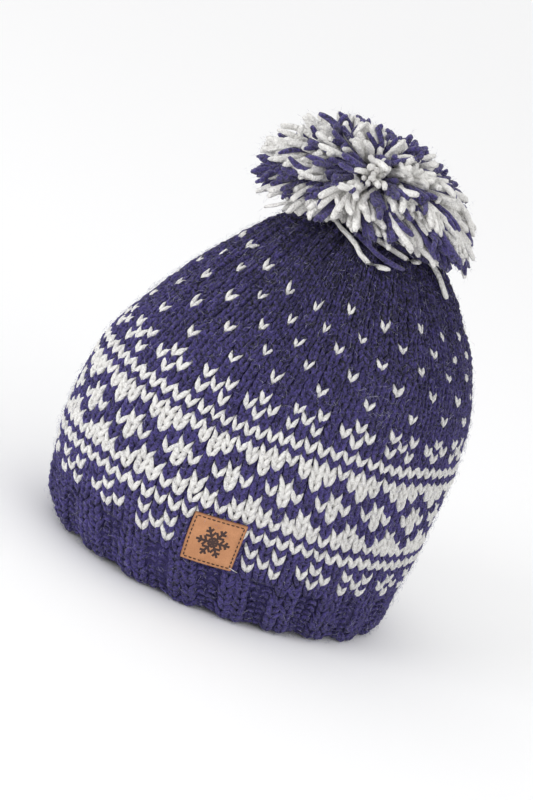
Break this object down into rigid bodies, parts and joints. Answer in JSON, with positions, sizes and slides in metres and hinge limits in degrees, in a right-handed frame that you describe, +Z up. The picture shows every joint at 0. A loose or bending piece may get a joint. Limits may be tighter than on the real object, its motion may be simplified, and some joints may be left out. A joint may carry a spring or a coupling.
{
  "type": "bobble hat",
  "caption": "Knitted wool hat with a ribbed brim, a patterned crown gathered under a big two-colour pompom, and a small leather patch.",
  "frame": {"origin": "centre of the bounding box's underside, on the surface that the rim rests on", "axes": "+Z up to the pompom, +Y to the back of the head, -Y to the forehead, X across the head"},
  "size_m": [0.1642, 0.2105, 0.2507],
  "materials": {
    "brim_wool": "matte hairy wool, navy",
    "crown_wool": "matte hairy wool, navy with a cream pattern",
    "pompom_wool": "cut wool yarn, cream and navy",
    "tie_wool": "matte wool cord, navy",
    "patch_leather": "smooth tan leather"
  },
  "bodies": {
    "root": {"ribbed_brim": "brim_wool", "crown": "crown_wool", "pompom": "pompom_wool", "pompom_tie": "tie_wool", "leather_patch": "patch_leather"}
  },
  "joints": []
}
